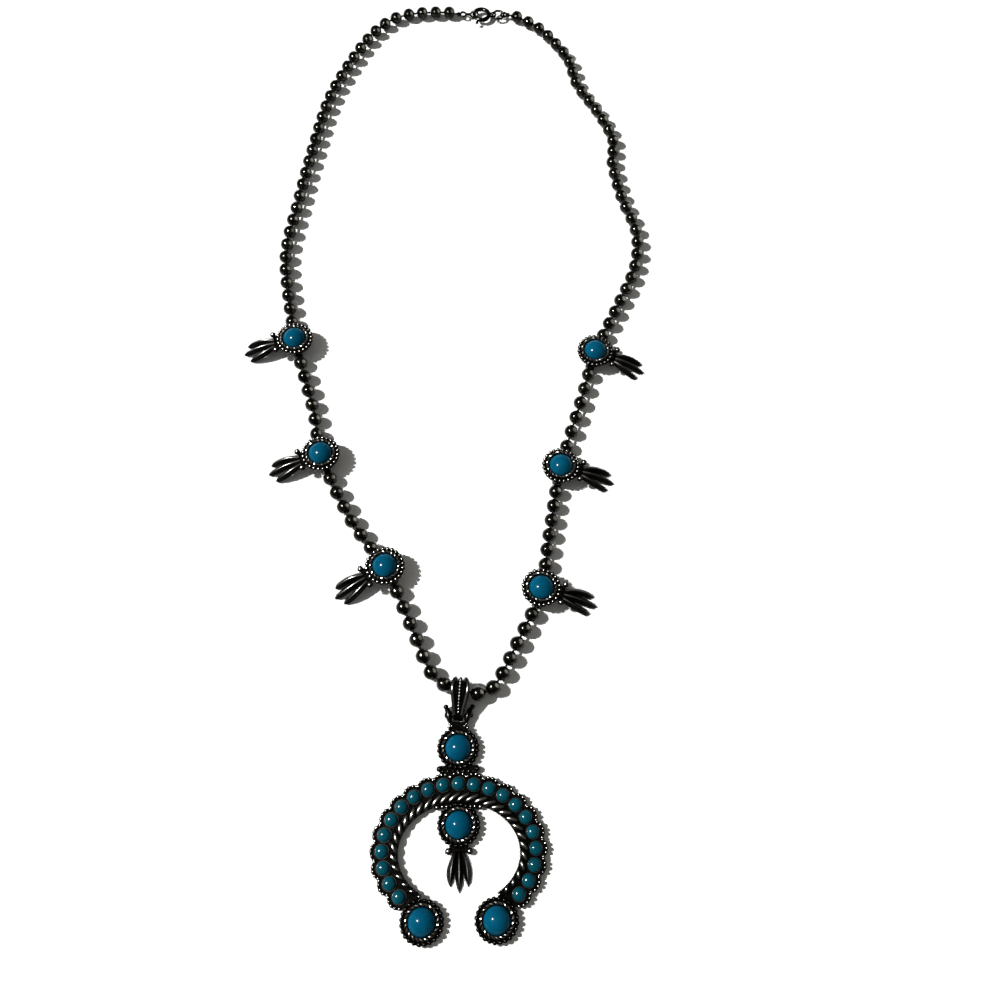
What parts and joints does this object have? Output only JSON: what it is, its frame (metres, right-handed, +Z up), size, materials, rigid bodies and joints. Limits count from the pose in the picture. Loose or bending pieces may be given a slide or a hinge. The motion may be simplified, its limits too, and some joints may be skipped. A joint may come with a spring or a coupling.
{
  "type": "squash blossom necklace",
  "caption": "Squash blossom necklace lying flat: round silver beads, blossoms with turquoise domes, a horseshoe pendant on a bail, and a spring ring clasp.",
  "frame": {"origin": "middle of the necklace's bounding box, on the table it lies on", "axes": "+Y from the pendant towards the clasp, +X to the right seen from above, +Z up from the table"},
  "size_m": [0.1498, 0.3724, 0.0082],
  "materials": {
    "oxidised_silver": "cast silver, blackened in the recesses and worn bright on the ridges",
    "beads": "polished dark silver beads",
    "clasp_metal": "polished, darkened silver",
    "turquoise": "polished domed turquoise",
    "thread": "dark waxed beading thread"
  },
  "bodies": {
    "necklace": {"beads_left": "beads", "beads_right": "beads", "thread": "thread", "pendant_frame": "oxidised_silver", "bail": "oxidised_silver", "blossom_1": "oxidised_silver", "blossom_2": "oxidised_silver", "blossom_3": "oxidised_silver", "blossom_4": "oxidised_silver", "blossom_5": "oxidised_silver", "blossom_6": "oxidised_silver", "blossom_stone_1": "turquoise", "blossom_stone_2": "turquoise", "blossom_stone_3": "turquoise", "blossom_stone_4": "turquoise", "blossom_stone_5": "turquoise", "blossom_stone_6": "turquoise", "row_stone_1": "turquoise", "row_stone_2": "turquoise", "row_stone_3": "turquoise", "row_stone_4": "turquoise", "row_stone_5": "turquoise", "row_stone_6": "turquoise", "row_stone_7": "turquoise", "row_stone_8": "turquoise", "row_stone_9": "turquoise", "row_stone_10": "turquoise", "row_stone_11": "turquoise", "row_stone_12": "turquoise", "row_stone_13": "turquoise", "row_stone_14": "turquoise", "row_stone_15": "turquoise", "row_stone_16": "turquoise", "row_stone_17": "turquoise", "row_stone_18": "turquoise", "row_stone_19": "turquoise", "row_stone_20": "turquoise", "row_stone_21": "turquoise", "top_stone": "turquoise", "drop_stone": "turquoise", "left_end_stone": "turquoise", "right_end_stone": "turquoise", "clasp_ring": "clasp_metal", "hook_link": "clasp_metal", "jump_ring": "clasp_metal", "end_loop": "clasp_metal"},
    "lever": {"clasp_lever": "clasp_metal"}
  },
  "joints": [
    {"name": "clasp_lever_slide", "type": "hinge", "parent": "necklace", "child": "lever", "pos_m": [0.014, 0.1822, 0.00195], "axis": [0, 0, 1], "range_deg": [0, 46], "stiffness_Nm_per_rad": 0.0004}
  ]
}
